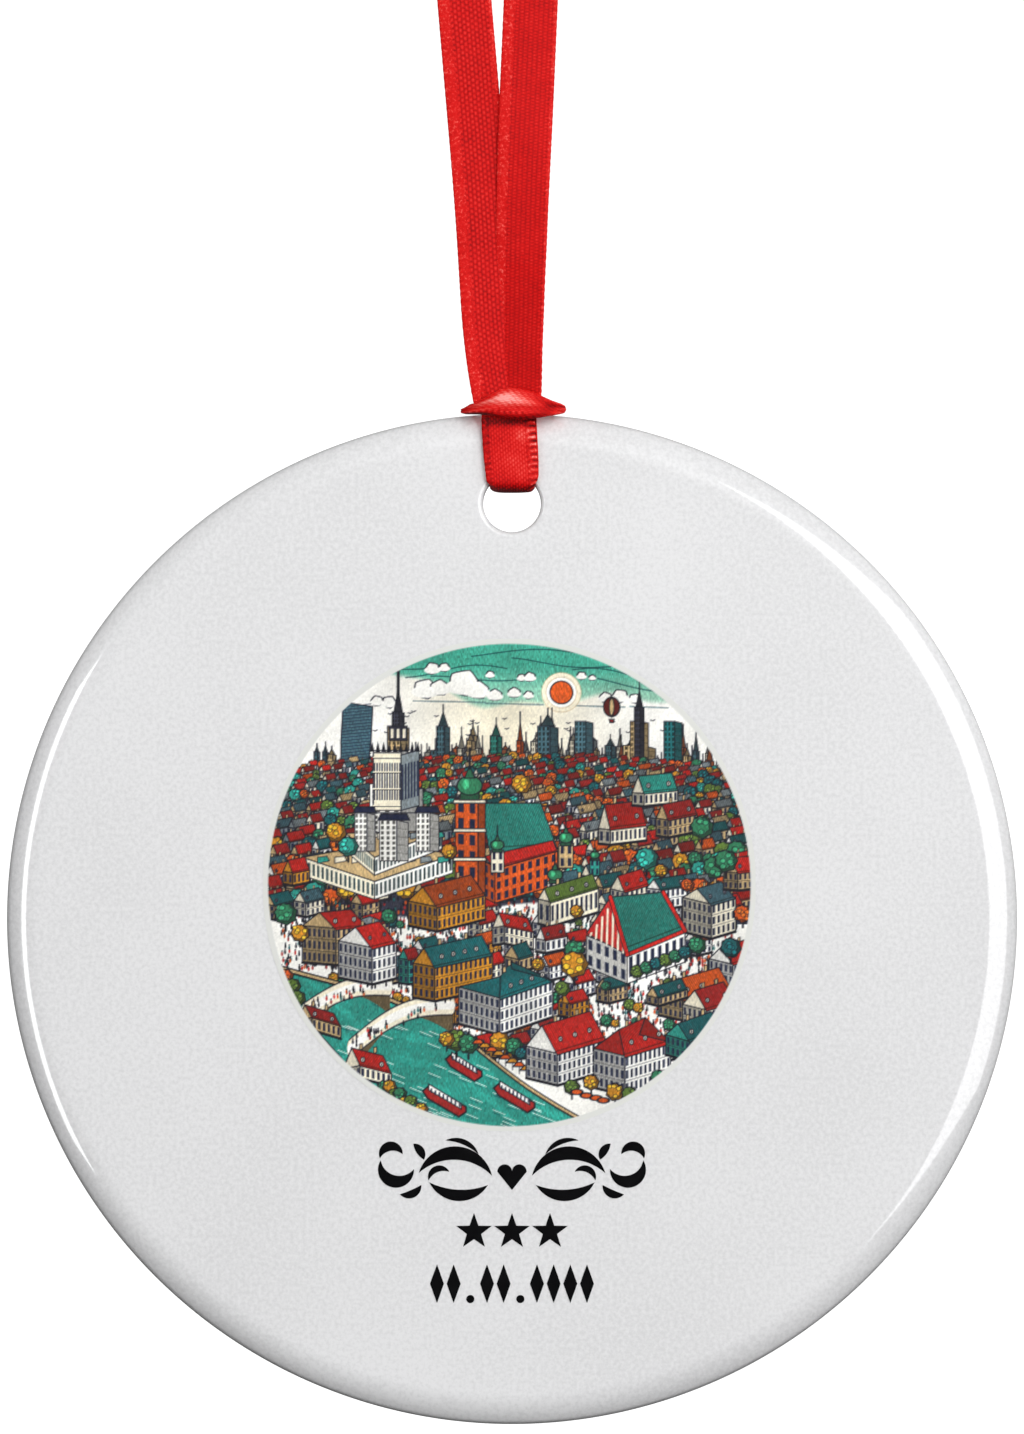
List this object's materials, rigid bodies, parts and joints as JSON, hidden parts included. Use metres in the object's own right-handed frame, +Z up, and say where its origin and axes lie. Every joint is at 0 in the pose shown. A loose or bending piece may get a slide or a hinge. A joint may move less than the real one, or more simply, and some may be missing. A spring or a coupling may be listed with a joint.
{
  "type": "hanging ornament",
  "caption": "Round glazed ceramic ornament with a printed picture, hung by a satin ribbon loop hitched through a hole near its rim.",
  "frame": {"origin": "inside top of the ribbon's loop, where a branch or hook bears, on the disc's mid-plane", "axes": "+Z up along the line the ornament hangs on, -Y the way the printed face looks, +X to the viewer's right"},
  "size_m": [0.076, 0.0049, 0.1562],
  "materials": {
    "glazed_white": "white gloss glaze",
    "colour_print": "colour picture under the gloss coat",
    "black_print": "black ink under the gloss coat",
    "red_satin": "red satin ribbon with stitched selvedges"
  },
  "bodies": {
    "loop": {"upper_left_strand": "red_satin", "upper_right_strand": "red_satin", "loop_crown": "red_satin", "end_knot": "red_satin", "left_tail": "red_satin", "right_tail": "red_satin"},
    "strands": {"left_strand": "red_satin", "right_strand": "red_satin"},
    "hitch": {"inner_wrap": "red_satin", "outer_wrap": "red_satin", "hitch_band": "red_satin"},
    "disc": {"ceramic_disc": "glazed_white", "picture_print": "colour_print", "flourish_print": "black_print", "star_print": "black_print", "dot_print": "black_print"}
  },
  "joints": [
    {"name": "twist", "type": "hinge", "parent": "loop", "child": "strands", "pos_m": [0, 0, -0.0332], "axis": [0, 0, 1], "range_deg": [-180, 180]},
    {"name": "tip", "type": "hinge", "parent": "strands", "child": "hitch", "pos_m": [0, -0.00185, -0.0641], "axis": [1, 0, 0], "range_deg": [-80, 80]},
    {"name": "rock", "type": "hinge", "parent": "hitch", "child": "disc", "pos_m": [0, 0, -0.07275], "axis": [0, 1, 0], "range_deg": [-8, 8]}
  ]
}
